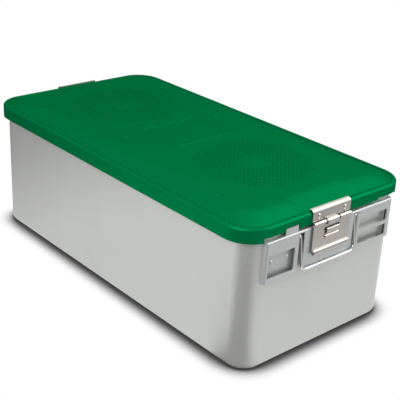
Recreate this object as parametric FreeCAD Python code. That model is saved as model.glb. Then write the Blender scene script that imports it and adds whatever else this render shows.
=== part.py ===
"""Full-size sterilization container with a perforated lid, latches and bail handles.

Millimetres, +Z up, origin at the middle of the base. The long axis is X.
Each end fitting is drawn once for the +X end ("a") and turned half a turn about Z for the other ("b").
"""
import FreeCAD, Part
import math
import os

from FreeCAD import Vector

# Tub
TUB_LENGTH = 584.0
TUB_WIDTH = 280.0
TUB_HEIGHT = 197.0
TUB_WALL = 2.0
TUB_CORNER_R = 28.0
TUB_BASE_R = 8.0
RIM_REACH = 3.0
RIM_THICK = 2.0

# Lid
LID_OVER_ENDS = 6.0
LID_OVER_SIDES = 12.0
LID_CORNER_R = 42.0
LID_WALL = 2.0
LID_ABOVE_TUB = 8.0
RIM_EDGE_R = 4.0
SKIRT_HEIGHT = 20.5
BEAD_WIDTH = 6.0
GUTTER_DEPTH = 1.4
PANEL_FOOT = 8.0
PANEL_INSET = 28.0
PANEL_RISE = 7.0
SETBACK = 11.0
SIDE_SETBACK_LENGTH = 124.0
SIDE_SETBACK_SLANT = 30.0
END_SETBACK_LENGTH = 98.0
END_SETBACK_SLANT = 11.0
CREASE_R = 45.0
END_SKIRT_RISE = 6.5
END_SKIRT_NEAR = -122.0
END_SKIRT_FAR = 136.0
SKIRT_DROP = 2.2
SKIRT_DROP_WIDTH = 176.0
NOTCH_WIDTH = 25.0
NOTCH_HEIGHT = 11.4

# Pressed ribs and pips on the lid's panel
RIB_X = 41.0
RIB_LENGTH = 104.0
RIB_WIDTH = 6.0
RIB_HEIGHT = 1.0
SHORT_RIB_LENGTH = 19.0
SHORT_RIB_X = -30.0
SHORT_RIB_Y = 88.0
PIP_X = 198.5
PIP_Y = 115.0
PIP_R = 3.0
PIP_HEIGHT = 0.8

# Perforated fields and filters
FIELD_X = 147.0
FIELD_R = 84.0
FIELD_BLANK_R = 22.0
HOLE_PITCH = 15.4
HOLE_R = 2.0
HOLE_SIDES = 6
FILTER_MARGIN = 8.0
FILTER_THICK = 0.5
STUD_R = 2.5
STUD_NECK_R = 1.8
STUD_HEAD_R = 3.5
STUD_HEAD_HEIGHT = 0.8
STUD_LENGTH = 9.5
RETAINER_MARGIN = 3.0
RETAINER_RIM = 8.0
RETAINER_DISH = 3.5
RETAINER_THICK = 1.2
HUB_R = 9.0
HUB_HEIGHT = 3.5
VENT_R = 6.0
VENT_EDGE = 1.5
VENT_RING_STEP = 20.0
VENT_SPACING = 28.0

# Gasket
GASKET_OUT = 3.0
GASKET_IN = 1.0
SOFT_GAP = 0.3

# How far the latch, the handle and the bracket's tongue stand off the middle of the end
MIDDLE_Y = -6.0

# End bracket
SHEET = 1.5
BRACKET_WIDTH = 237.0
BRACKET_GAP = 3.9
BRACKET_HEIGHT = 58.0
BRACKET_STAND = 7.0
BRACKET_EDGE_R = 2.5
TONGUE_WIDTH = 93.0
TONGUE_SHORT = 1.0
SLOT_WIDTH = 8.0
BAND_HEIGHT = 3.0
WINDOW_OUTER = 3.5
LEFT_WINDOW = (7.2, 38.4)
RIGHT_WINDOWS = ((6.0, 22.0), (27.5, 44.0))
WINDOW_R = 2.0
WINDOW_INNER = 8.0
TAB_Y = -75.0
TAB_WIDTH = 22.0
TAB_GAP = 1.5
TAB_ROOT = 2.5
STOP_THICK = 1.5
STOP_DEPTH = 3.0
STOP_INSET = 6.0

# Identification plate and its rivets
PLATE_THICK = 1.0
PLATE_GAP = 1.0
PLATE_TOP_GAP = 6.0
ID_RIVET_SPACING = 28.0
ID_RIVET_UP = 24.5
ID_RIVET_R = 1.6
ID_HEAD_R = 3.0
ID_HEAD_HEIGHT = 1.3

# Bail handle
WIRE_R = 2.0
BAIL_PIVOT_OUT = 3.2
BAIL_PIVOT_DOWN = 7.5
BAIL_HALF = 50.5
BAIL_DROP = 48.5
BAIL_CORNER_R = 9.0
BAIL_TOP_R = 3.5
BAIL_REST_GAP = 0.25
PIN_REACH = 3.5
BEARING_GAP = 0.06

# Latch
PLATE_HALF = 35.5
LATCH_SHEET = 1.5
LIP_R = 4.5
LIP_RISE = 2.7
LIP_BACK = 7.0
HINGE_OUT = 3.2
HINGE_UP = 3.7
KNUCKLE_R = 2.8
KNUCKLE_HALF = 11.0
KNUCKLE_GAP = 0.3
HINGE_PIN_R = 1.25
FLAP_SHEET = 1.3
FLAP_HALF = 34.5
FLAP_LENGTH = 40.0
FLAP_CORNER_R = 2.5
FLAP_ROLL_R = 2.6
FLAP_ROLL_SHORT = 1.0
CATCH_HALF = 12.0
CATCH_DOWN = 13.0
CATCH_THICK = 3.5
CATCH_REACH = 5.6
CATCH_BASE = 1.2
CATCH_BASE_SIDE = 5.0
CATCH_BASE_BELOW = 6.0
CATCH_BASE_ABOVE = 3.0
WINDOW_CLEAR = 1.8
CATCH_CLEAR_BELOW = 3.0
CATCH_CLEAR_ABOVE = 2.2
FLAP_LIP = 2.4
LATCH_RIVET_Y = 24.4
LATCH_RIVETS_UP = (10.4, 5.4)
LATCH_HEAD_R = (3.0, 1.9)
LATCH_HEAD_HEIGHT = (1.6, 1.0)
LATCH_RIVET_SHANK_R = 1.5

# Sizes and planes that several pieces share
LID_LENGTH = TUB_LENGTH + 2 * LID_OVER_ENDS
LID_WIDTH = TUB_WIDTH + 2 * LID_OVER_SIDES
RIM_TOP_Z = TUB_HEIGHT + LID_ABOVE_TUB
SKIRT_Z = RIM_TOP_Z - SKIRT_HEIGHT
END_SKIRT_Z = SKIRT_Z + END_SKIRT_RISE
MIDDLE_SKIRT_Z = END_SKIRT_Z - SKIRT_DROP
NOTCH_TOP_Z = SKIRT_Z + NOTCH_HEIGHT
TAB_TOP_Z = NOTCH_TOP_Z - TAB_GAP
BRACKET_TOP_Z = MIDDLE_SKIRT_Z - BRACKET_GAP
BRACKET_BOTTOM_Z = BRACKET_TOP_Z - BRACKET_HEIGHT
SLOT_TOP_Z = BRACKET_TOP_Z - BAND_HEIGHT
TONGUE_BOTTOM_Z = BRACKET_BOTTOM_Z + TONGUE_SHORT
ID_RIVET_Z = BRACKET_BOTTOM_Z + ID_RIVET_UP
BAIL_PIVOT_Z = BRACKET_TOP_Z - BAIL_PIVOT_DOWN
LIP_TOP_Z = RIM_TOP_Z + LIP_RISE
HINGE_Z = SKIRT_Z + HINGE_UP
CATCH_Z = HINGE_Z - CATCH_DOWN
FILTER_R = FIELD_R + FILTER_MARGIN
RETAINER_R = FILTER_R + RETAINER_MARGIN
WALL_X = TUB_LENGTH / 2
SKIRT_X = LID_LENGTH / 2
FACE_X = WALL_X + BRACKET_STAND
FACE_BACK_X = FACE_X - SHEET
GUTTER_Z = RIM_TOP_Z - GUTTER_DEPTH
PANEL_Z = RIM_TOP_Z + PANEL_RISE
PANEL_UNDER_Z = PANEL_Z - LID_WALL
TONGUE_HALF = TONGUE_WIDTH / 2
SECTION_Y = TONGUE_HALF + SLOT_WIDTH
LEFT_SECTION_Y = MIDDLE_Y - SECTION_Y
RIGHT_SECTION_Y = MIDDLE_Y + SECTION_Y
BAIL_X = WALL_X + BAIL_PIVOT_OUT
HINGE_X = SKIRT_X + HINGE_OUT

# How far a cutter overshoots, the share of the largest possible fillet that softens an edge, and how near
# two coordinates are when they count as one
OVER = 1.0
SOFTEN = 0.8
NEAR = 1e-4


def box(x0, x1, y0, y1, z0, z1):
    return Part.makeBox(x1 - x0, y1 - y0, z1 - z0, Vector(x0, y0, z0))


def cylinder(radius, start, end):
    axis = end - start
    return Part.makeCylinder(radius, axis.Length, start, axis)


def rounded_wire(length, width, radius, z):
    """A rounded rectangle about the Z axis, as a closed wire."""
    hx, hy = length / 2, width / 2
    k = radius * (1 - math.sqrt(0.5))
    edges = []
    for sx, sy in ((1, 1), (-1, 1), (-1, -1), (1, -1)):
        side = Vector(sx * hx, sy * (hy - radius), z)
        mid = Vector(sx * (hx - k), sy * (hy - k), z)
        top = Vector(sx * (hx - radius), sy * hy, z)
        turn = (side, mid, top) if sx * sy > 0 else (top, mid, side)
        edges.append(Part.Arc(*turn).toShape())
    joined = []
    for i, arc in enumerate(edges):
        after = edges[(i + 1) % 4]
        joined.append(arc)
        joined.append(Part.LineSegment(arc.Vertexes[-1].Point, after.Vertexes[0].Point).toShape())
    return Part.Wire(joined)


def rounded_prism(length, width, radius, z0, z1):
    face = Part.Face(rounded_wire(length, width, radius, z0))
    return face.extrude(Vector(0, 0, z1 - z0))


def edges_at(shape, z):
    """The edges that lie wholly at one height."""
    return [e for e in shape.Edges if abs(e.BoundBox.ZMin - z) < NEAR and abs(e.BoundBox.ZMax - z) < NEAR]


def profile_along_y(points, y0, y1):
    """A closed outline in X and Z, drawn out from y0 to y1."""
    ring = [Vector(x, y0, z) for x, z in points]
    face = Part.Face(Part.makePolygon(ring + ring[:1]))
    return face.extrude(Vector(0, y1 - y0, 0))


def slot_prism_x(x0, x1, y0, y1, z0, z1, radius):
    """A box along X whose four long edges are rounded."""
    block = box(x0, x1, y0, y1, z0, z1)
    long_edges = [e for e in block.Edges if e.BoundBox.XLength > (x1 - x0) / 2 and e.BoundBox.YLength < NEAR]
    return block.makeFillet(radius, long_edges)


def dome_z(radius, height, base, root):
    """A shallow dome on base, which faces +Z, and as much of its ball as lies within root below."""
    ball_r = (radius * radius + height * height) / (2 * height)
    ball = Part.makeSphere(ball_r, base + Vector(0, 0, height - ball_r))
    keep = ball_r + OVER
    return ball.common(box(base.x - keep, base.x + keep, base.y - keep, base.y + keep,
                           base.z - root, base.z + height + OVER))


def dome_x(radius, height, base):
    """A rivet head standing on base, which faces +X."""
    dome = dome_z(radius, height, Vector(0, 0, 0), 0)
    dome.rotate(Vector(0, 0, 0), Vector(0, 1, 0), 90)
    dome.translate(base)
    return dome


def tub_outer(z1):
    block = rounded_prism(TUB_LENGTH, TUB_WIDTH, TUB_CORNER_R, 0, z1)
    return block.makeFillet(TUB_BASE_R, edges_at(block, 0))


def tub_inner():
    block = rounded_prism(TUB_LENGTH - 2 * TUB_WALL, TUB_WIDTH - 2 * TUB_WALL, TUB_CORNER_R - TUB_WALL,
                          TUB_WALL, TUB_HEIGHT + OVER)
    return block.makeFillet(TUB_BASE_R - TUB_WALL, edges_at(block, TUB_WALL))


def make_tub():
    rim = rounded_prism(TUB_LENGTH + 2 * RIM_REACH, TUB_WIDTH + 2 * RIM_REACH, TUB_CORNER_R + RIM_REACH,
                        TUB_HEIGHT - RIM_THICK, TUB_HEIGHT)
    return tub_outer(TUB_HEIGHT).fuse(rim).cut(tub_inner()).removeSplitter()


def setback_wedge(length, slant, x_side, centre, drop):
    """What a set-back takes off the panel: it lies above a slope that is gentler than the panel's own, and
    its two ends lean, so that the panel's edge steps in along a slanting line."""
    half = (LID_LENGTH if x_side else LID_WIDTH) / 2
    foot_x, edge_x, top_x = half - PANEL_FOOT, half - PANEL_INSET, half - PANEL_INSET - SETBACK
    low, high = GUTTER_Z - drop, PANEL_Z - drop
    above = high + OVER
    outline = [(foot_x, low), (top_x, high), (top_x, above), (foot_x + OVER, above), (foot_x + OVER, low)]
    wedge = profile_along_y(outline, centre - length, centre + length)
    for side in (-1, 1):
        end = centre + side * length / 2
        edge = Vector(edge_x, end, high)
        inwards = Vector(top_x, end - side * slant, high) - edge
        down = Vector(foot_x, end, low) - edge
        outwards = inwards.cross(down).normalize() * LID_LENGTH
        if outwards.y * side < 0:
            outwards = outwards * -1
        wedge = wedge.cut(cylinder(LID_LENGTH, edge, edge + outwards))
    if not x_side:
        wedge.rotate(Vector(0, 0, 0), Vector(0, 0, 1), 90)
    return wedge


def lid_form(inset, drop):
    """The lid's outer form, or its inside when it is set in and down by the wall."""
    edge_r = RIM_EDGE_R - inset
    length, width, corner = LID_LENGTH - 2 * inset, LID_WIDTH - 2 * inset, LID_CORNER_R - inset
    block = rounded_prism(length, width, corner, SKIRT_Z - inset, RIM_TOP_Z - drop)
    block = block.makeFillet(edge_r, edges_at(block, RIM_TOP_Z - drop))
    bead = BEAD_WIDTH - inset
    hollow = rounded_prism(LID_LENGTH - 2 * bead, LID_WIDTH - 2 * bead, LID_CORNER_R - bead,
                           GUTTER_Z - drop, RIM_TOP_Z + OVER)
    foot = rounded_wire(LID_LENGTH - 2 * PANEL_FOOT, LID_WIDTH - 2 * PANEL_FOOT, LID_CORNER_R - PANEL_FOOT,
                        GUTTER_Z - drop)
    top = rounded_wire(LID_LENGTH - 2 * PANEL_INSET, LID_WIDTH - 2 * PANEL_INSET, LID_CORNER_R - PANEL_FOOT,
                       PANEL_Z - drop)
    panel = Part.makeLoft([foot, top], True, True)
    for turn in (0, 180):
        wedges = [setback_wedge(END_SETBACK_LENGTH, END_SETBACK_SLANT, True, 0, drop)]
        for centre in (-FIELD_X, FIELD_X):
            wedges.append(setback_wedge(SIDE_SETBACK_LENGTH, SIDE_SETBACK_SLANT, False, centre, drop))
        for wedge in wedges:
            wedge.rotate(Vector(0, 0, 0), Vector(0, 0, 1), turn)
            panel = panel.cut(wedge)
    panel = panel.makeFillet(CREASE_R, edges_at(panel, PANEL_Z - drop))
    return block.cut(hollow).fuse(panel)


def end_skirt_trim():
    """What the skirt lacks at an end: it is short there over the bracket, least so in the middle, and has
    a notch for the bracket's tab."""
    low = SKIRT_Z - OVER
    half = SKIRT_DROP_WIDTH / 2
    steps = (
        (-half, half, MIDDLE_SKIRT_Z),
        (END_SKIRT_NEAR, -half, END_SKIRT_Z),
        (half, END_SKIRT_FAR, END_SKIRT_Z),
        (TAB_Y - NOTCH_WIDTH / 2, TAB_Y + NOTCH_WIDTH / 2, NOTCH_TOP_Z),
    )
    return [box(SKIRT_X - LID_CORNER_R, SKIRT_X + OVER, y0, y1, low, high) for y0, y1, high in steps]


def pressed_bar(x, y, length):
    """A raised rib across the lid, with round ends and a rounded top."""
    half = length / 2 - RIB_WIDTH / 2
    z = PANEL_Z - OVER
    core = box(x - RIB_WIDTH / 2, x + RIB_WIDTH / 2, y - half, y + half, z, PANEL_Z + RIB_HEIGHT)
    for end in (-half, half):
        start = Vector(x, y + end, z)
        core = core.fuse(cylinder(RIB_WIDTH / 2, start, Vector(x, y + end, PANEL_Z + RIB_HEIGHT)))
    core = core.removeSplitter()
    return core.makeFillet(RIB_HEIGHT * SOFTEN, edges_at(core, PANEL_Z + RIB_HEIGHT))


def field_places():
    """Hole centres of one perforated field, on a square grid about its middle."""
    steps = int(FIELD_R // HOLE_PITCH) + 1
    places = []
    for i in range(-steps, steps + 1):
        for j in range(-steps, steps + 1):
            distance = math.hypot(i, j) * HOLE_PITCH
            if FIELD_BLANK_R < distance < FIELD_R - HOLE_R:
                places.append((i * HOLE_PITCH, j * HOLE_PITCH))
    return places


def polygon_prism(x, y, radius, sides, z0, z1):
    ring = []
    for k in range(sides):
        t = 2 * math.pi * (k + 0.5) / sides
        ring.append(Vector(x + radius * math.cos(t), y + radius * math.sin(t), z0))
    return Part.Face(Part.makePolygon(ring + ring[:1])).extrude(Vector(0, 0, z1 - z0))


def make_lid_shell():
    shell = lid_form(0, 0).cut(lid_form(LID_WALL, LID_WALL))
    raised = []
    for side in (-1, 1):
        raised.append(pressed_bar(side * RIB_X, 0, RIB_LENGTH))
        raised.append(pressed_bar(SHORT_RIB_X, side * SHORT_RIB_Y, SHORT_RIB_LENGTH))
        for across in (-1, 1):
            place = Vector(side * PIP_X, across * PIP_Y, PANEL_Z)
            raised.append(dome_z(PIP_R, PIP_HEIGHT, place, LID_WALL / 2))
    shell = shell.fuse(raised)
    cuts = []
    for trim in end_skirt_trim():
        cuts += [trim, half_turn(trim)]
    below, above = PANEL_UNDER_Z - OVER, PANEL_Z + OVER
    for field in (-FIELD_X, FIELD_X):
        cuts.append(cylinder(STUD_NECK_R, Vector(field, 0, below), Vector(field, 0, above)))
        for dx, dy in field_places():
            cuts.append(polygon_prism(field + dx, dy, HOLE_R, HOLE_SIDES, below, above))
    for hole in latch_rivet_shanks(SKIRT_X - LID_WALL - OVER, SKIRT_X + OVER):
        hole.translate(Vector(0, MIDDLE_Y, 0))
        cuts += [hole, half_turn(hole)]
    return shell.cut(cuts).removeSplitter()


def make_lid_gasket():
    low = TUB_HEIGHT + SOFT_GAP
    outer = rounded_prism(TUB_LENGTH + 2 * GASKET_OUT, TUB_WIDTH + 2 * GASKET_OUT, TUB_CORNER_R + GASKET_OUT,
                          low, PANEL_Z)
    inner_off = TUB_WALL + GASKET_IN
    inner = rounded_prism(TUB_LENGTH - 2 * inner_off, TUB_WIDTH - 2 * inner_off, TUB_CORNER_R - inner_off,
                          low - OVER, PANEL_Z + OVER)
    return outer.cut(inner).common(lid_form(LID_WALL, LID_WALL)).removeSplitter()


def half_turn(shape):
    turned = shape.copy()
    turned.rotate(Vector(0, 0, 0), Vector(0, 0, 1), 180)
    return turned


def section(y0, y1):
    """One standing-off part of the bracket: a shallow pan open to the wall."""
    pan = box(WALL_X - TUB_CORNER_R, FACE_X, y0, y1, BRACKET_BOTTOM_Z, BRACKET_TOP_Z)
    front = [e for e in pan.Edges if e.BoundBox.XMin > FACE_X - NEAR]
    pan = pan.makeFillet(BRACKET_EDGE_R, front)
    hollow = box(WALL_X - TUB_CORNER_R - OVER, FACE_BACK_X, y0 + SHEET, y1 - SHEET,
                 BRACKET_BOTTOM_Z + SHEET, BRACKET_TOP_Z - SHEET)
    return pan.cut(hollow)


def make_end_bracket():
    half = BRACKET_WIDTH / 2
    body = section(RIGHT_SECTION_Y, half).fuse(section(-half, LEFT_SECTION_Y))
    band = box(WALL_X - OVER, FACE_X, LEFT_SECTION_Y - BRACKET_EDGE_R, RIGHT_SECTION_Y + BRACKET_EDGE_R,
               SLOT_TOP_Z, BRACKET_TOP_Z)
    top_front = [e for e in edges_at(band, BRACKET_TOP_Z) if e.BoundBox.XMin > FACE_X - NEAR]
    band = band.makeFillet(BRACKET_EDGE_R, top_front)
    band = band.cut(box(WALL_X - 2 * OVER, FACE_BACK_X, LEFT_SECTION_Y, RIGHT_SECTION_Y,
                        SLOT_TOP_Z - OVER, BRACKET_TOP_Z - SHEET))
    tongue = slot_prism_x(FACE_BACK_X, FACE_X, MIDDLE_Y - TONGUE_HALF, MIDDLE_Y + TONGUE_HALF,
                          TONGUE_BOTTOM_Z, BRACKET_TOP_Z - BRACKET_EDGE_R, WINDOW_R)
    tab = slot_prism_x(FACE_BACK_X - SHEET, FACE_BACK_X, TAB_Y - TAB_WIDTH / 2, TAB_Y + TAB_WIDTH / 2,
                       BRACKET_TOP_Z - TAB_ROOT, TAB_TOP_Z, WINDOW_R / 2)
    stop_y = half - SHEET - STOP_INSET
    stop = box(WALL_X - OVER, WALL_X + STOP_DEPTH, stop_y - STOP_THICK, stop_y,
               BRACKET_BOTTOM_Z, BRACKET_BOTTOM_Z + RIGHT_WINDOWS[1][1] + SHEET)
    body = body.fuse([band, tongue, tab, stop])
    cuts = [tub_outer(TUB_HEIGHT)]
    through = (FACE_BACK_X - OVER, FACE_X + OVER)
    cuts.append(slot_prism_x(*through, WINDOW_OUTER - half, LEFT_SECTION_Y - WINDOW_INNER,
                             BRACKET_BOTTOM_Z + LEFT_WINDOW[0], BRACKET_BOTTOM_Z + LEFT_WINDOW[1], WINDOW_R))
    for low, high in RIGHT_WINDOWS:
        cuts.append(slot_prism_x(*through, RIGHT_SECTION_Y + SHEET + WINDOW_OUTER, half - WINDOW_INNER,
                                 BRACKET_BOTTOM_Z + low, BRACKET_BOTTOM_Z + high, WINDOW_R))
    bore_reach = SHEET + OVER
    cuts.append(cylinder(WIRE_R + BEARING_GAP, Vector(BAIL_X, LEFT_SECTION_Y - bore_reach, BAIL_PIVOT_Z),
                         Vector(BAIL_X, RIGHT_SECTION_Y + bore_reach, BAIL_PIVOT_Z)))
    cuts.append(box(*through, MIDDLE_Y - CATCH_HALF, MIDDLE_Y + CATCH_HALF, CATCH_Z, CATCH_Z + CATCH_THICK))
    return body.cut(cuts).removeSplitter()


def make_catch():
    """A plate behind the bracket's tongue, with the catch itself standing out through it."""
    back_x = FACE_BACK_X - CATCH_BASE
    tip_x = FACE_X + CATCH_REACH
    catch_top_z = CATCH_Z + CATCH_THICK
    base_half = CATCH_HALF + CATCH_BASE_SIDE
    base = box(back_x, FACE_BACK_X, -base_half, base_half,
               CATCH_Z - CATCH_BASE_BELOW, catch_top_z + CATCH_BASE_ABOVE)
    tongue = box(back_x, tip_x, -CATCH_HALF, CATCH_HALF, CATCH_Z, catch_top_z)
    front = [e for e in tongue.Edges if e.BoundBox.XMin > tip_x - NEAR]
    return tongue.makeFillet(CATCH_THICK / 2 * SOFTEN, front).fuse(base).removeSplitter()


def id_rivet_places():
    middle = (LEFT_SECTION_Y - BRACKET_WIDTH / 2) / 2
    return [Vector(WALL_X + PLATE_THICK, middle + s * ID_RIVET_SPACING / 2, ID_RIVET_Z) for s in (-1, 1)]


def make_id_plate():
    """A blank plate on the tub's flat wall, inside the section with the one large window."""
    outer = -BRACKET_WIDTH / 2 + SHEET + PLATE_GAP
    flat = -(TUB_WIDTH / 2 - TUB_CORNER_R)
    inner = LEFT_SECTION_Y - SHEET - PLATE_GAP
    low = BRACKET_BOTTOM_Z + SHEET + PLATE_GAP
    high = BRACKET_TOP_Z - SHEET - PLATE_TOP_GAP
    plate = slot_prism_x(WALL_X, WALL_X + PLATE_THICK, max(outer, flat), inner, low, high, WINDOW_R)
    holes = []
    for place in id_rivet_places():
        behind = place - Vector(PLATE_THICK + OVER, 0, 0)
        holes.append(cylinder(ID_RIVET_R, behind, place + Vector(OVER, 0, 0)))
    return plate.cut(holes)


def make_id_rivets():
    rivets = []
    for p in id_rivet_places():
        shank = cylinder(ID_RIVET_R, p - Vector(PLATE_THICK, 0, 0), p + Vector(ID_HEAD_HEIGHT / 2, 0, 0))
        rivets.append(dome_x(ID_HEAD_R, ID_HEAD_HEIGHT, p).fuse(shank).removeSplitter())
    return Part.makeCompound(rivets)


def bail_lean():
    """The handle hangs against the tongue's face, so it leans out from its pivot by this angle."""
    out = FACE_X + BAIL_REST_GAP + WIRE_R - BAIL_X
    return math.asin(out / BAIL_DROP)


def make_bail():
    """The wire runs from one pin, down an arm, along the grip and back up, in one leaning plane."""
    lean = bail_lean()

    def at(y, down):
        return Vector(BAIL_X + down * math.sin(lean), y, BAIL_PIVOT_Z - down * math.cos(lean))

    pin_y = SECTION_Y + SHEET + PIN_REACH
    corners = [(-pin_y, 0, 0), (-BAIL_HALF, 0, BAIL_TOP_R), (-BAIL_HALF, BAIL_DROP, BAIL_CORNER_R),
               (BAIL_HALF, BAIL_DROP, BAIL_CORNER_R), (BAIL_HALF, 0, BAIL_TOP_R), (pin_y, 0, 0)]
    edges, last = [], at(corners[0][0], corners[0][1])
    for i in range(1, 5):
        y, down, radius = corners[i]
        here = at(y, down)
        before = (at(*corners[i - 1][:2]) - here).normalize()
        after = (at(*corners[i + 1][:2]) - here).normalize()
        start, end = here + before * radius, here + after * radius
        middle = here + (before + after) * (radius * (1 - math.sqrt(0.5)))
        edges.append(Part.LineSegment(last, start).toShape())
        edges.append(Part.Arc(start, middle, end).toShape())
        last = end
    edges.append(Part.LineSegment(last, at(pin_y, 0)).toShape())
    path = Part.Wire(edges)
    ring = Part.Wire([Part.makeCircle(WIRE_R, at(-pin_y, 0), Vector(0, 1, 0))])
    return path.makePipeShell([ring], True, False)


def arc_points(cx, cz, radius, start, end, steps):
    """Points on an arc in X and Z, with angles in degrees from +X towards +Z."""
    points = []
    for k in range(steps + 1):
        t = math.radians(start + (end - start) * k / steps)
        points.append((cx + radius * math.cos(t), cz + radius * math.sin(t)))
    return points


def latch_rivet_places():
    return [(y, HINGE_Z + up) for up in LATCH_RIVETS_UP for y in (-LATCH_RIVET_Y, LATCH_RIVET_Y)]


def latch_rivet_shanks(x0, x1):
    places = latch_rivet_places()
    return [cylinder(LATCH_RIVET_SHANK_R, Vector(x0, y, z), Vector(x1, y, z)) for y, z in places]


def make_latch_plate():
    """Sheet on the skirt, rolled over the rim bead, with the middle hinge knuckle below."""
    out_x = SKIRT_X + LATCH_SHEET
    inner_r = LIP_R - LATCH_SHEET
    cx, cz = out_x - LIP_R, LIP_TOP_Z - LIP_R
    back_x = cx - (LIP_BACK - LIP_R)
    low = HINGE_Z + KNUCKLE_R + 2 * KNUCKLE_GAP
    outline = [(SKIRT_X, low), (out_x, low)] + arc_points(cx, cz, LIP_R, 0, 90, 6)
    outline += [(back_x, LIP_TOP_Z), (back_x, RIM_TOP_Z), (back_x + LATCH_SHEET, RIM_TOP_Z),
                (back_x + LATCH_SHEET, LIP_TOP_Z - LATCH_SHEET)]
    outline += arc_points(cx, cz, inner_r, 90, 0, 6)
    plate = profile_along_y(outline, -PLATE_HALF, PLATE_HALF)
    web = box(SKIRT_X, out_x, -KNUCKLE_HALF, KNUCKLE_HALF, HINGE_Z, low + OVER)
    ends = (Vector(HINGE_X, -KNUCKLE_HALF, HINGE_Z), Vector(HINGE_X, KNUCKLE_HALF, HINGE_Z))
    plate = plate.fuse([web, cylinder(KNUCKLE_R, *ends)])
    cuts = [cylinder(HINGE_PIN_R, *ends)] + latch_rivet_shanks(SKIRT_X - OVER, out_x + OVER)
    return plate.cut(cuts).removeSplitter()


def make_latch_rivets():
    """Each has a domed head in front of the plate, and ends flush with the skirt's inside."""
    front = SKIRT_X + LATCH_SHEET
    shanks = latch_rivet_shanks(SKIRT_X - LID_WALL, front + LATCH_HEAD_HEIGHT[-1] / 2)
    rivets = []
    for i, (y, z) in enumerate(latch_rivet_places()):
        row = i // 2
        head = dome_x(LATCH_HEAD_R[row], LATCH_HEAD_HEIGHT[row], Vector(front, y, z))
        rivets.append(head.fuse(shanks[i]).removeSplitter())
    return Part.makeCompound(rivets)


def make_hinge_pin():
    return cylinder(HINGE_PIN_R, Vector(HINGE_X, -FLAP_HALF, HINGE_Z), Vector(HINGE_X, FLAP_HALF, HINGE_Z))


def make_latch_flap():
    """The lever: two knuckles, a sheet with the catch's window, and a rolled grip along its foot."""
    inner_x = HINGE_X - FLAP_SHEET / 2
    outer_x = HINGE_X + FLAP_SHEET / 2
    foot_z = HINGE_Z - FLAP_LENGTH
    sheet = slot_prism_x(inner_x, outer_x, -FLAP_HALF, FLAP_HALF, foot_z, HINGE_Z, FLAP_CORNER_R)
    roll_x = inner_x + FLAP_ROLL_R
    roll_half = FLAP_HALF - FLAP_ROLL_SHORT
    roll = cylinder(FLAP_ROLL_R, Vector(roll_x, -roll_half, foot_z), Vector(roll_x, roll_half, foot_z))
    roll = roll.makeFillet(FLAP_ROLL_R / 2, [e for e in roll.Edges if e.isClosed()])
    window_z0 = CATCH_Z - CATCH_CLEAR_BELOW
    window_z1 = CATCH_Z + CATCH_THICK + CATCH_CLEAR_ABOVE
    window_half = CATCH_HALF + WINDOW_CLEAR
    lip = box(inner_x, outer_x + FLAP_LIP, -window_half, window_half, window_z0 - FLAP_SHEET, window_z0)
    lip_front = [e for e in lip.Edges if e.BoundBox.XMin > outer_x + FLAP_LIP - NEAR]
    lip = lip.makeFillet(FLAP_SHEET / 2 * SOFTEN, lip_front)
    parts = [roll, lip]
    cuts = [box(inner_x - OVER, outer_x + OVER, -window_half, window_half, window_z0, window_z1)]
    gap_half = KNUCKLE_HALF + KNUCKLE_GAP
    clear_r = KNUCKLE_R + 2 * KNUCKLE_GAP
    cuts.append(cylinder(clear_r, Vector(HINGE_X, -gap_half, HINGE_Z), Vector(HINGE_X, gap_half, HINGE_Z)))
    for side in (-1, 1):
        near, far = side * gap_half, side * FLAP_HALF
        parts.append(cylinder(KNUCKLE_R, Vector(HINGE_X, near, HINGE_Z), Vector(HINGE_X, far, HINGE_Z)))
        cuts.append(cylinder(HINGE_PIN_R + BEARING_GAP, Vector(HINGE_X, near - side * OVER, HINGE_Z),
                             Vector(HINGE_X, far + side * OVER, HINGE_Z)))
    return sheet.fuse(parts).cut(cuts).removeSplitter()


def make_filter_stud(x):
    """A head on the panel, a neck through it and a thicker shank that shoulders against its underside."""
    top = Vector(x, 0, PANEL_Z)
    shoulder = Vector(x, 0, PANEL_UNDER_Z)
    head = dome_z(STUD_HEAD_R, STUD_HEAD_HEIGHT, top, 0)
    neck = cylinder(STUD_NECK_R, shoulder, top + Vector(0, 0, STUD_HEAD_HEIGHT / 2))
    shank = cylinder(STUD_R, top - Vector(0, 0, STUD_LENGTH), shoulder)
    return head.fuse([neck, shank]).removeSplitter()


def make_filter_sheet(x):
    top = PANEL_UNDER_Z
    disc = cylinder(FILTER_R, Vector(x, 0, top - FILTER_THICK), Vector(x, 0, top))
    return disc.cut(cylinder(STUD_R, Vector(x, 0, top - FILTER_THICK - OVER), Vector(x, 0, top + OVER)))


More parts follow.
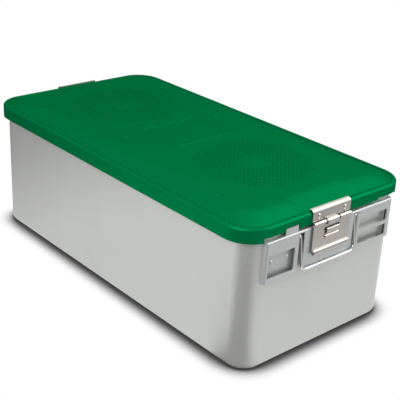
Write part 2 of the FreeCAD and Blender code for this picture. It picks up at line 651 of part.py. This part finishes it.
def make_filter_retainer(x):
    """Dished round plate with vent holes, carried by a hub that grips the stud."""
    top = PANEL_UNDER_Z - FILTER_THICK - SOFT_GAP
    foot_r = RETAINER_R - RETAINER_RIM
    dish_r = foot_r - RETAINER_DISH
    low = top - RETAINER_DISH
    bore_r = STUD_R + BEARING_GAP
    hub_low = low - HUB_HEIGHT
    lean = RETAINER_THICK / 2
    ring = [(RETAINER_R, top), (foot_r, top), (dish_r, low), (bore_r, low), (bore_r, hub_low),
            (HUB_R, hub_low), (HUB_R, low - RETAINER_THICK), (dish_r + lean, low - RETAINER_THICK),
            (foot_r + lean, top - RETAINER_THICK), (RETAINER_R, top - RETAINER_THICK)]
    outline = [Vector(x + r, 0, z) for r, z in ring]
    plate = Part.Face(Part.makePolygon(outline + outline[:1])).revolve(Vector(x, 0, 0), Vector(0, 0, 1), 360)
    vents = []
    ring_r = dish_r - VENT_EDGE - VENT_R
    while ring_r > HUB_R + VENT_EDGE + VENT_R:
        count = int(2 * math.pi * ring_r / VENT_SPACING)
        for k in range(count):
            t = 2 * math.pi * k / count
            vents.append(polygon_prism(x + ring_r * math.cos(t), ring_r * math.sin(t), VENT_R, HOLE_SIDES,
                                       low - RETAINER_THICK - OVER, low + OVER))
        ring_r -= VENT_RING_STEP
    return plate.cut(vents)


def off_middle(shape):
    """Moves a piece that is drawn about y = 0 to where the latch and the handle stand."""
    return shape.translated(Vector(0, MIDDLE_Y, 0))


def export(name, shape):
    if not shape.isValid():
        print("invalid", name)
    shape.exportStep(f"parts/{name}.step")
    print(f"{name:20s} solids {len(shape.Solids)} faces {len(shape.Faces):4d} volume {shape.Volume:10.1f}")


os.makedirs("parts", exist_ok=True)
export("tub", make_tub())
export("lid_shell", make_lid_shell())
export("lid_gasket", make_lid_gasket())
end_fittings = {
    "end_bracket": make_end_bracket(),
    "catch": off_middle(make_catch()),
    "id_plate": make_id_plate(),
    "id_rivets": make_id_rivets(),
    "bail": off_middle(make_bail()),
    "latch_plate": off_middle(make_latch_plate()),
    "latch_rivets": off_middle(make_latch_rivets()),
    "hinge_pin": off_middle(make_hinge_pin()),
    "latch_flap": off_middle(make_latch_flap()),
    "filter_stud": make_filter_stud(FIELD_X),
    "filter_sheet": make_filter_sheet(FIELD_X),
    "filter_retainer": make_filter_retainer(FIELD_X),
}
for name, shape in end_fittings.items():
    export(name + "_a", shape)
    export(name + "_b", half_turn(shape))
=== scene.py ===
"""The look of the sterilization container: finishes, studio light and the photograph's view.

Metres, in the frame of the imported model. The long axis is X, and the photographed end is at +X.
"""

import math

import bmesh
import bpy
from mathutils import Matrix, Vector


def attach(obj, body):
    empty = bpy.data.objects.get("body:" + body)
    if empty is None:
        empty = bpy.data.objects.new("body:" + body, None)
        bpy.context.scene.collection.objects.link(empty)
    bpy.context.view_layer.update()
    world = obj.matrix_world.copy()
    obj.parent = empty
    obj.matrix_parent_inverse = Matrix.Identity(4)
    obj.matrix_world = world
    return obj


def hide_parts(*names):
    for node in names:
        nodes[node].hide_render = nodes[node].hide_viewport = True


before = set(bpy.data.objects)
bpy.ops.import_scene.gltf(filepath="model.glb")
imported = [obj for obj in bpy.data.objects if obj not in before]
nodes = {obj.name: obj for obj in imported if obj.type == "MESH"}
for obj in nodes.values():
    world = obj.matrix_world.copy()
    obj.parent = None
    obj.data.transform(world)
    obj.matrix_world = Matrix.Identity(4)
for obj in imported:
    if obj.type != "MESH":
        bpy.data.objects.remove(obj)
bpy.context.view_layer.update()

# The photograph's camera, fitted to the outlines of the lid and the tub
IMAGE_SIZE = 400
FOCAL_PIXELS = 914.4
AZIMUTH = 48.1
ELEVATION = 24.25
ROLL = 2.975
DISTANCE = 1.3918
SHIFT_RIGHT = -0.02626
SHIFT_UP = 0.02718
LOOK_HEIGHT = 0.130
SENSOR = 36.0

# Anodised aluminium, stainless steel, silicone and filter fleece
TUB_COLOUR = (0.55, 0.56, 0.535)
BRACKET_COLOUR = (0.50, 0.53, 0.52)
LABEL_COLOUR = (0.47, 0.50, 0.49)
LID_COLOUR = (0.0004, 0.190, 0.062)
LID_EDGE_TINT = (0.0, 0.37, 0.30)
STEEL_COLOUR = (0.50, 0.475, 0.44)
WIRE_COLOUR = (0.70, 0.70, 0.69)
SILICONE_COLOUR = (0.48, 0.49, 0.47)
FILTER_COLOUR = (0.70, 0.71, 0.69)

# Surface texture: scales per metre, depths in metres. A swing is how far a value goes either way.
CLOUD_SCALE = 14.0
CLOUD_DETAIL = 2.0
CLOUD_SWING = 0.03
LID_CLOUD_SWING = 0.04
GRAIN_DETAIL = 3.0
GRAIN_SWING = 0.05
BRUSH_STRETCH = (2600.0, 20.0, 2600.0)
BRUSH_SWING = 0.03
BRUSH_DEPTH = 0.00001
BRUSH_STRENGTH = 0.2

# The lid's perforation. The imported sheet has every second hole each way, and they are a little wider.
FIELD_X = 0.147
FIELD_R = 0.082
FIELD_BLANK_R = 0.022
PACKED_PITCH = 0.0154
PACKED_HOLE_R = 0.0020
PACKED_HOLE_REACH = 1.05
PITCH = PACKED_PITCH / 2
HOLE_R = 0.0017
HOLE_SIDES = 6
HOLE_Z = (0.209, 0.213)

# The latch at the +X end: (lowest corner, highest corner) of what its flap lacks, and the rounds that its
# catch, hinge and flap have, each as (x, z, half depth, half height, half length along Y)
MIDDLE_Y = -0.006
FLAP_CUTS = (
    ((0.2970, -0.0135, 0.1838), (0.3065, 0.0135, 0.1925)),
    ((0.2970, -0.0138, 0.1705), (0.3065, 0.0138, 0.1730)),
)
FLAP_FOOT_ROLL = (0.30255, 0.1497, 0.0031, 0.0041, 0.0340)
FLAP_BEAD = (0.3020, 0.1674, 0.0022, 0.0024, 0.0130)
HINGE_SLEEVE = (0.3012, 0.1882, 0.0039, 0.0039, 0.0108)
CATCH_LIP = (0.3027, 0.1752, 0.0019, 0.0037, 0.0118)
# A round's domed end: how far in, as a share of its half depth, and how full its section is there
ROUND_DOME = ((0.0, 0.55), (0.2, 0.86), (0.55, 1.0))
ROUND_SIDES = 32

SHARP_ANGLE = math.radians(28)
MERGE_DISTANCE = 1e-6

# World brightness: as light, and in reflections at the sides and in front
ROOM_FILL = 0.40
ROOM_BRIGHT = 0.95
ROOM_DIM = 0.30
# Where the reflected brightness begins and ends to fall, towards the front of the nearest corner
ROOM_FALL = (0.2, 0.85)
FRONT = (math.sqrt(0.5), -math.sqrt(0.5), 0)

# The floor, and its painted shadow: how near a thing darkens it, the openness over which it brightens, and
# its darkest
FLOOR_HALF = 30.0
FLOOR_GREY = 0.8
FLOOR_ROUGHNESS = 0.9
SHADOW_REACH = 0.035
SHADOW_SAMPLES = 16
SHADOW_RAMP = (0.48, 0.955)
SHADOW_DARKEST = 0.055
# How bright metal sees the floor, a painted reflection whose glow is dimmer far left, to the right and, as
# painted shade, in front of the nearest corner: start and end of each ramp, and its levels there
FLOOR_LEFT = (-0.64, -0.22, 0.22, 1.0)
FLOOR_RIGHT = (0.46, 0.62, 1.0, 0.52)
FLOOR_FRONT = (0.50, 0.92, 1.0, 0.08)
CORNER = (0.25, -0.10, 0)
CORNER_FRONT = (0.42, -0.9075, 0)

# Softboxes: name, place, aim, width, height and watts
LAMPS = (
    ("left_softbox", (0.50, -1.1, 0.75), (0.15, 0, 0.1), 0.9, 0.8, 9.5),
    ("right_softbox", (1.05, 1.0, 1.05), (0.25, 0, 0.15), 1.3, 1.3, 12),
    ("back_softbox", (-0.3, 1.3, 1.9), (0, 0, 0.2), 1.4, 1.4, 6),
)


def new_material(name):
    material = bpy.data.materials.new(name)
    material.use_nodes = True
    tree = material.node_tree
    return material, tree, tree.nodes["Principled BSDF"]


def noise(tree, scale, detail, stretch=None):
    """A noise texture in metres, pulled long along one axis where stretch is given."""
    coords = tree.nodes.new("ShaderNodeTexCoord")
    texture = tree.nodes.new("ShaderNodeTexNoise")
    texture.inputs["Scale"].default_value = scale
    texture.inputs["Detail"].default_value = detail
    mapping = tree.nodes.new("ShaderNodeMapping")
    if stretch:
        mapping.inputs["Scale"].default_value = stretch
    tree.links.new(coords.outputs["Object"], mapping.inputs["Vector"])
    tree.links.new(mapping.outputs["Vector"], texture.inputs["Vector"])
    return texture.outputs["Fac"]


def ramp(tree, value, start, end, low, high):
    """From low at start to high at end, and level beyond them."""
    node = tree.nodes.new("ShaderNodeMapRange")
    node.inputs["From Min"].default_value = start
    node.inputs["From Max"].default_value = end
    node.inputs["To Min"].default_value = low
    node.inputs["To Max"].default_value = high
    tree.links.new(value, node.inputs["Value"])
    return node.outputs["Result"]


def tint(tree, value, dark, light):
    """A colour between dark and light, by a 0 to 1 value."""
    node = tree.nodes.new("ShaderNodeMix")
    node.data_type = "RGBA"
    node.inputs["A"].default_value = (*dark, 1)
    node.inputs["B"].default_value = (*light, 1)
    tree.links.new(value, node.inputs["Factor"])
    return node.outputs["Result"]


def product(tree, a, b):
    node = tree.nodes.new("ShaderNodeMath")
    node.operation = "MULTIPLY"
    tree.links.new(a, node.inputs[0])
    tree.links.new(b, node.inputs[1])
    return node.outputs[0]


def vector_math(tree, operation, vector, other=None, result="Vector"):
    node = tree.nodes.new("ShaderNodeVectorMath")
    node.operation = operation
    tree.links.new(vector, node.inputs[0])
    if other:
        node.inputs[1].default_value = other
    return node.outputs[result]


def along(tree, vector, direction):
    """How far a vector reaches in a direction."""
    return vector_math(tree, "DOT_PRODUCT", vector, direction, "Value")


def bump(tree, value, depth, strength):
    node = tree.nodes.new("ShaderNodeBump")
    node.inputs["Strength"].default_value = strength
    node.inputs["Distance"].default_value = depth
    tree.links.new(value, node.inputs["Height"])
    return node.outputs["Normal"]


def mixed(tree, factor, first, second):
    node = tree.nodes.new("ShaderNodeMixShader")
    tree.links.new(factor, node.inputs["Fac"])
    tree.links.new(first, node.inputs[1])
    tree.links.new(second, node.inputs[2])
    return node.outputs[0]


def scaled(colour, factor):
    return tuple(c * factor for c in colour)


def shade(tree, shader, colour, texture, swing):
    """Colour that varies a little with a texture."""
    varied = tint(tree, texture, scaled(colour, 1 - swing), scaled(colour, 1 + swing))
    tree.links.new(varied, shader.inputs["Base Color"])


def roughen(tree, shader, roughness, texture, swing, depth, strength=1.0):
    """Roughness and fine relief that vary with a texture."""
    varied = ramp(tree, texture, 0.0, 1.0, roughness - swing, roughness + swing)
    tree.links.new(varied, shader.inputs["Roughness"])
    tree.links.new(bump(tree, texture, depth, strength), shader.inputs["Normal"])


def satin_metal(name, colour, metallic, roughness, scale, depth, swing=CLOUD_SWING, edge_tint=None):
    """Blasted and anodised aluminium: fine even grain and faint cloudy variation."""
    material, tree, shader = new_material(name)
    shader.inputs["Metallic"].default_value = metallic
    if edge_tint:
        shader.inputs["Specular Tint"].default_value = (*edge_tint, 1)
        shader.inputs["Specular IOR Level"].default_value = 0.0
    shade(tree, shader, colour, noise(tree, CLOUD_SCALE, CLOUD_DETAIL), swing)
    roughen(tree, shader, roughness, noise(tree, scale, GRAIN_DETAIL), GRAIN_SWING, depth)
    return material


def brushed_metal(name, colour, roughness):
    """Stainless sheet with fine brush lines along Y."""
    material, tree, shader = new_material(name)
    shader.inputs["Metallic"].default_value = 1.0
    lines = noise(tree, 1.0, GRAIN_DETAIL, BRUSH_STRETCH)
    shade(tree, shader, colour, lines, BRUSH_SWING)
    roughen(tree, shader, roughness, lines, BRUSH_SWING, BRUSH_DEPTH, BRUSH_STRENGTH)
    return material


def matte(name, colour, roughness, scale, depth):
    material, tree, shader = new_material(name)
    grain = noise(tree, scale, GRAIN_DETAIL)
    shade(tree, shader, colour, grain, GRAIN_SWING)
    roughen(tree, shader, roughness, grain, GRAIN_SWING, depth)
    return material


# Satin: metallic, roughness, grain's scale and depth. Brushed: roughness. Matte: roughness, scale and depth.
FINISHES = {
    "tub": satin_metal("tub_satin_aluminium", TUB_COLOUR, 0.55, 0.37, 1800.0, 0.00003),
    "end_bracket": satin_metal("bracket_satin_aluminium", BRACKET_COLOUR, 0.55, 0.40, 1800.0, 0.00002),
    "id_plate": satin_metal("blank_label_plate", LABEL_COLOUR, 0.5, 0.42, 1800.0, 0.00001),
    "id_rivets": satin_metal("label_rivet", scaled(LABEL_COLOUR, 1.15), 0.6, 0.32, 900.0, 0.00001),
    "lid_shell": satin_metal("green_anodised_aluminium", LID_COLOUR, 0.55, 0.42, 1500.0, 0.00002,
                             LID_CLOUD_SWING, LID_EDGE_TINT),
    "lid_gasket": matte("silicone", SILICONE_COLOUR, 0.5, 300.0, 0.00002),
    "catch": brushed_metal("catch_steel", STEEL_COLOUR, 0.26),
    "bail": brushed_metal("bail_wire", WIRE_COLOUR, 0.18),
    "latch_plate": brushed_metal("latch_plate_steel", STEEL_COLOUR, 0.28),
    "latch_rivets": brushed_metal("latch_rivet_steel", scaled(STEEL_COLOUR, 1.25), 0.2),
    "hinge_pin": brushed_metal("hinge_pin_steel", WIRE_COLOUR, 0.22),
    "latch_flap": brushed_metal("latch_flap_steel", STEEL_COLOUR, 0.28),
    "filter_stud": satin_metal("green_anodised_stud", LID_COLOUR, 0.55, 0.38, 1500.0, 0.00002,
                               LID_CLOUD_SWING, LID_EDGE_TINT),
    "filter_sheet": matte("filter_fleece", FILTER_COLOUR, 0.85, 700.0, 0.0002),
    "filter_retainer": satin_metal("retainer_satin_aluminium", BRACKET_COLOUR, 0.6, 0.38, 1800.0, 0.00002),
}


def dress_nodes():
    for name, obj in nodes.items():
        stem = name[:-2] if name[-2:] in ("_a", "_b") else name
        obj.data.materials.clear()
        obj.data.materials.append(FINISHES[stem])


def packed_form(node):
    """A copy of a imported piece's surface, with its facets joined."""
    form = bmesh.new()
    form.from_mesh(nodes[node].data)
    bmesh.ops.remove_doubles(form, verts=form.verts, dist=MERGE_DISTANCE)
    return form


def mesh_of(form, name):
    mesh = bpy.data.meshes.new(name)
    form.to_mesh(mesh)
    form.free()
    return mesh


def new_piece(name, mesh):
    piece = bpy.data.objects.new(name, mesh)
    bpy.context.scene.collection.objects.link(piece)
    return piece


def apply_modifiers(piece):
    view = bpy.context.evaluated_depsgraph_get()
    piece.data = bpy.data.meshes.new_from_object(piece.evaluated_get(view))
    piece.modifiers.clear()


def cut_away(piece, mesh):
    """Cuts a closed mesh out of a piece."""
    cutter = new_piece("cutter", mesh)
    cut = piece.modifiers.new("cut", "BOOLEAN")
    cut.operation = "DIFFERENCE"
    cut.solver = "EXACT"
    cut.object = cutter
    apply_modifiers(piece)
    bpy.data.objects.remove(cutter)


def finish_piece(piece, body, finish):
    """Smooth shading that keeps the flat faces flat, then its finish and its body."""
    piece.data.polygons.foreach_set("use_smooth", [True] * len(piece.data.polygons))
    piece.data.set_sharp_from_angle(angle=SHARP_ANGLE)
    flat = piece.modifiers.new("flat_faces", "WEIGHTED_NORMAL")
    flat.keep_sharp = True
    flat.weight = 100
    apply_modifiers(piece)
    piece.data.materials.clear()
    piece.data.materials.append(FINISHES[finish])
    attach(piece, body)


def hole_places():
    """Grid steps of one perforated field's holes."""
    steps = int(FIELD_R // PITCH) + 1
    grid = [(i, j) for i in range(-steps, steps + 1) for j in range(-steps, steps + 1)]
    return [(i, j) for i, j in grid if FIELD_BLANK_R < math.hypot(i, j) * PITCH < FIELD_R]


def narrow_packed_holes(form, places):
    """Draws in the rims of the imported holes, so that all holes are alike."""
    packed = {(i // 2, j // 2) for i, j in places if i % 2 == 0 and j % 2 == 0}
    for vertex in form.verts:
        if vertex.co.z < HOLE_Z[0]:
            continue
        field = math.copysign(FIELD_X, vertex.co.x)
        i = round((vertex.co.x - field) / PACKED_PITCH)
        j = round(vertex.co.y / PACKED_PITCH)
        centre = Vector((field + i * PACKED_PITCH, j * PACKED_PITCH, vertex.co.z))
        if (i, j) in packed and (vertex.co - centre).length < PACKED_HOLE_R * PACKED_HOLE_REACH:
            vertex.co = centre.lerp(vertex.co, HOLE_R / PACKED_HOLE_R)


def hole_cutters(centres):
    """One mesh of prisms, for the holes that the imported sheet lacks."""
    points, faces = [], []
    around = [2 * math.pi * (k + 0.5) / HOLE_SIDES for k in range(HOLE_SIDES)]
    for x, y in centres:
        base = len(points)
        for z in HOLE_Z:
            points += [(x + HOLE_R * math.cos(t), y + HOLE_R * math.sin(t), z) for t in around]
        low = list(range(base, base + HOLE_SIDES))
        high = [i + HOLE_SIDES for i in low]
        faces += [low[::-1], high]
        for k in range(HOLE_SIDES):
            n = (k + 1) % HOLE_SIDES
            faces.append([low[k], low[n], high[n], high[k]])
    mesh = bpy.data.meshes.new("hole_cutters")
    mesh.from_pydata(points, [], faces)
    return mesh


def make_perforated_lid():
    """The lid's sheet with the whole pattern of holes."""
    places = hole_places()
    form = packed_form("lid_shell")
    narrow_packed_holes(form, places)
    lid = new_piece("lid_shell_perforated", mesh_of(form, "lid_shell_perforated"))
    new = [(i, j) for i, j in places if i % 2 or j % 2]
    centres = [(field + i * PITCH, j * PITCH) for field in (-FIELD_X, FIELD_X) for i, j in new]
    cut_away(lid, hole_cutters(centres))
    finish_piece(lid, "lid", "lid_shell")
    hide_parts("lid_shell")


def turned(point, end):
    """A point of the +X latch, about its middle, placed at one end of the container."""
    x, y, z = point
    y += MIDDLE_Y
    return (x, y, z) if end == "a" else (-x, -y, z)


def box_mesh(name, boxes, end):
    form = bmesh.new()
    for low, high in boxes:
        corners = [(x, y, z) for x in (low[0], high[0]) for y in (low[1], high[1])
                   for z in (low[2], high[2])]
        bmesh.ops.convex_hull(form, input=[form.verts.new(turned(c, end)) for c in corners])
    return mesh_of(form, name)


def add_rounds(form, rounds, end):
    """Adds oval rods with domed ends, lying along Y."""
    for x, z, half_depth, half_height, half_length in rounds:
        near = [(-half_length + half_depth * inset, share) for inset, share in ROUND_DOME]
        rings = []
        for y, share in near + [(-y, share) for y, share in reversed(near)]:
            ring = []
            for k in range(ROUND_SIDES):
                t = 2 * math.pi * k / ROUND_SIDES
                place = (x + half_depth * share * math.cos(t), y, z + half_height * share * math.sin(t))
                ring.append(form.verts.new(turned(place, end)))
            rings.append(ring)
        for low, high in zip(rings, rings[1:]):
            for k in range(ROUND_SIDES):
                n = (k + 1) % ROUND_SIDES
                form.faces.new((low[k], low[n], high[n], high[k]))
        form.faces.new(rings[0][::-1])
        form.faces.new(rings[-1])
    bmesh.ops.recalc_face_normals(form, faces=form.faces)


def make_round(name, shape, end, body, finish):
    form = bmesh.new()
    add_rounds(form, [shape], end)
    finish_piece(new_piece(name, mesh_of(form, name)), body, finish)


def make_latch_details(end):
    """The flap with its taller window, gaps at the knuckle and full rolls, and what stands around it."""
    node = "latch_flap_" + end
    name = "flap_detailed_" + end
    flap = new_piece(name, mesh_of(packed_form(node), name))
    cut_away(flap, box_mesh("flap_cuts", FLAP_CUTS, end))
    form = bmesh.new()
    form.from_mesh(flap.data)
    add_rounds(form, [FLAP_FOOT_ROLL, FLAP_BEAD], end)
    form.to_mesh(flap.data)
    form.free()
    finish_piece(flap, node, "latch_flap")
    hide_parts(node)
    make_round("hinge_sleeve_" + end, HINGE_SLEEVE, end, "lid", "latch_plate")
    make_round("catch_lip_" + end, CATCH_LIP, end, "container", "catch")


def add_camera():
    azimuth, elevation, roll = (math.radians(v) for v in (AZIMUTH, ELEVATION, ROLL))
    back = Vector((math.sin(azimuth) * math.cos(elevation), -math.cos(azimuth) * math.cos(elevation),
                   math.sin(elevation)))
    level = Vector((math.cos(azimuth), math.sin(azimuth), 0))
    up = back.cross(level)
    right = math.cos(roll) * level + math.sin(roll) * up
    up = math.cos(roll) * up - math.sin(roll) * level
    place = Vector((0, 0, LOOK_HEIGHT)) + DISTANCE * back - SHIFT_RIGHT * right - SHIFT_UP * up
    camera = bpy.data.cameras.new("camera")
    camera.sensor_width = SENSOR
    camera.lens = FOCAL_PIXELS / IMAGE_SIZE * SENSOR
    obj = bpy.data.objects.new("camera", camera)
    turn = Matrix((right, up, back)).transposed().to_4x4()
    obj.matrix_world = Matrix.Translation(place) @ turn
    bpy.context.scene.collection.objects.link(obj)
    bpy.context.scene.camera = obj


def add_area(name, place, aim, width, height, power):
    lamp = bpy.data.lights.new(name, "AREA")
    lamp.shape = "RECTANGLE"
    lamp.size = width
    lamp.size_y = height
    lamp.energy = power
    obj = bpy.data.objects.new(name, lamp)
    away = Vector(place) - Vector(aim)
    obj.matrix_world = Matrix.Translation(place) @ away.to_track_quat("Z", "Y").to_matrix().to_4x4()
    bpy.context.scene.collection.objects.link(obj)


def seen_glow(tree):
    """What the camera sees of the floor: white, with a painted shadow only close around what stands on it.
    """
    contact = tree.nodes.new("ShaderNodeAmbientOcclusion")
    contact.inputs["Distance"].default_value = SHADOW_REACH
    contact.samples = SHADOW_SAMPLES
    openness = ramp(tree, contact.outputs["AO"], *SHADOW_RAMP, SHADOW_DARKEST, 1.0)
    openness.node.interpolation_type = "SMOOTHSTEP"
    glow = tree.nodes.new("ShaderNodeEmission")
    tree.links.new(openness, glow.inputs["Strength"])
    return glow.outputs[0]


def mirrored_glow(tree):
    """What metal sees of the floor, a painted reflection: a glow that is darker far left, to the right and,
    as painted shade, in front of the nearest corner.
    """
    coords = tree.nodes.new("ShaderNodeTexCoord").outputs["Object"]
    x = along(tree, coords, (1, 0, 0))
    from_corner = vector_math(tree, "NORMALIZE", vector_math(tree, "SUBTRACT", coords, CORNER))
    sides = product(tree, ramp(tree, x, *FLOOR_LEFT), ramp(tree, x, *FLOOR_RIGHT))
    front = ramp(tree, along(tree, from_corner, CORNER_FRONT), *FLOOR_FRONT)
    glow = tree.nodes.new("ShaderNodeEmission")
    tree.links.new(product(tree, sides, front), glow.inputs["Strength"])
    return glow.outputs[0]


def add_floor():
    mesh = bpy.data.meshes.new("floor")
    corners = [(sx * FLOOR_HALF, sy * FLOOR_HALF, 0) for sx, sy in ((-1, -1), (1, -1), (1, 1), (-1, 1))]
    mesh.from_pydata(corners, [], [(0, 1, 2, 3)])
    floor = new_piece("floor", mesh)
    material, tree, shader = new_material("floor_white")
    shader.inputs["Base Color"].default_value = (FLOOR_GREY, FLOOR_GREY, FLOOR_GREY, 1)
    shader.inputs["Roughness"].default_value = FLOOR_ROUGHNESS
    path = tree.nodes.new("ShaderNodeLightPath")
    lit = mixed(tree, path.outputs["Is Glossy Ray"], shader.outputs[0], mirrored_glow(tree))
    surface = mixed(tree, path.outputs["Is Camera Ray"], lit, seen_glow(tree))
    tree.links.new(surface, tree.nodes["Material Output"].inputs["Surface"])
    mesh.materials.append(material)


def add_world():
    """White to the camera; for reflections white too, but dim in front of the nearest corner."""
    world = bpy.data.worlds.new("studio")
    world.use_nodes = True
    tree = world.node_tree
    background = tree.nodes["Background"]
    background.inputs["Color"].default_value = (1, 1, 1, 1)
    coords = tree.nodes.new("ShaderNodeTexCoord").outputs["Generated"]
    room = ramp(tree, along(tree, coords, FRONT), *ROOM_FALL, ROOM_BRIGHT, ROOM_DIM)
    path = tree.nodes.new("ShaderNodeLightPath")
    mirrored = tree.nodes.new("ShaderNodeMix")
    mirrored.inputs["A"].default_value = ROOM_FILL
    strength = tree.nodes.new("ShaderNodeMix")
    strength.inputs["B"].default_value = 1.0
    links = tree.links
    links.new(room, mirrored.inputs["B"])
    links.new(path.outputs["Is Glossy Ray"], mirrored.inputs["Factor"])
    links.new(mirrored.outputs["Result"], strength.inputs["A"])
    links.new(path.outputs["Is Camera Ray"], strength.inputs["Factor"])
    links.new(strength.outputs["Result"], background.inputs["Strength"])
    bpy.context.scene.world = world


dress_nodes()
make_perforated_lid()
for end in ("a", "b"):
    make_latch_details(end)
add_floor()
add_world()
for lamp in LAMPS:
    add_area(*lamp)
add_camera()
bpy.context.scene.view_settings.view_transform = "Standard"
